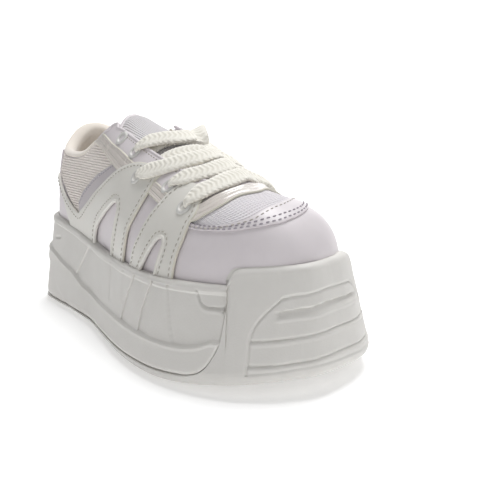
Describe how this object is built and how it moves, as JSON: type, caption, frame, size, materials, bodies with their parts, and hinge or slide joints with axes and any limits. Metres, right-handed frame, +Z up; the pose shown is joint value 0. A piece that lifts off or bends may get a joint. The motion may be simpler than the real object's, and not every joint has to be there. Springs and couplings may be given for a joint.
{
  "type": "platform sneaker",
  "caption": "Low-cut right platform sneaker: hollow padded upper with side overlays and a laced throat, on a tall flared moulded cup sole with a toe guard.",
  "frame": {"origin": "on the floor under the middle of the shoe's length and width", "axes": "+X to the toe along the length, +Y to the medial side, +Z up; a right shoe"},
  "size_m": [0.28, 0.1112, 0.1242],
  "materials": {
    "sole_rubber": "warm white moulded rubber, satin, finely textured",
    "sole_foam": "warm white moulded foam, satin, finely textured",
    "upper_leather": "pale lilac pearl synthetic leather, soft gloss, fine grain",
    "overlay_leather": "warm white glossy synthetic leather, smooth",
    "side_mesh": "pinkish white ribbed mesh",
    "tongue_mesh": "fine white spacer mesh",
    "lining": "ivory brushed textile, padded",
    "strip": "translucent ribbed film with fine glitter",
    "eyelet": "white painted metal, soft gloss",
    "lace": "ivory white flat knitted lace",
    "thread": "polyester sewing thread"
  },
  "bodies": {
    "root": {"outsole": "sole_rubber", "midsole": "sole_foam", "insole": "lining", "upper": "upper_leather", "tongue": "tongue_mesh", "eyelet_lateral_1": "eyelet", "eyelet_lateral_2": "eyelet", "eyelet_lateral_3": "eyelet", "eyelet_lateral_4": "eyelet", "eyelet_lateral_5": "eyelet", "eyelet_medial_1": "eyelet", "eyelet_medial_2": "eyelet", "eyelet_medial_3": "eyelet", "eyelet_medial_4": "eyelet", "eyelet_medial_5": "eyelet", "lace_crossing_1": "lace", "lace_crossing_2": "lace", "lace_crossing_3": "lace", "lace_crossing_4": "lace", "lace_toe_bar": "lace"}
  },
  "joints": []
}
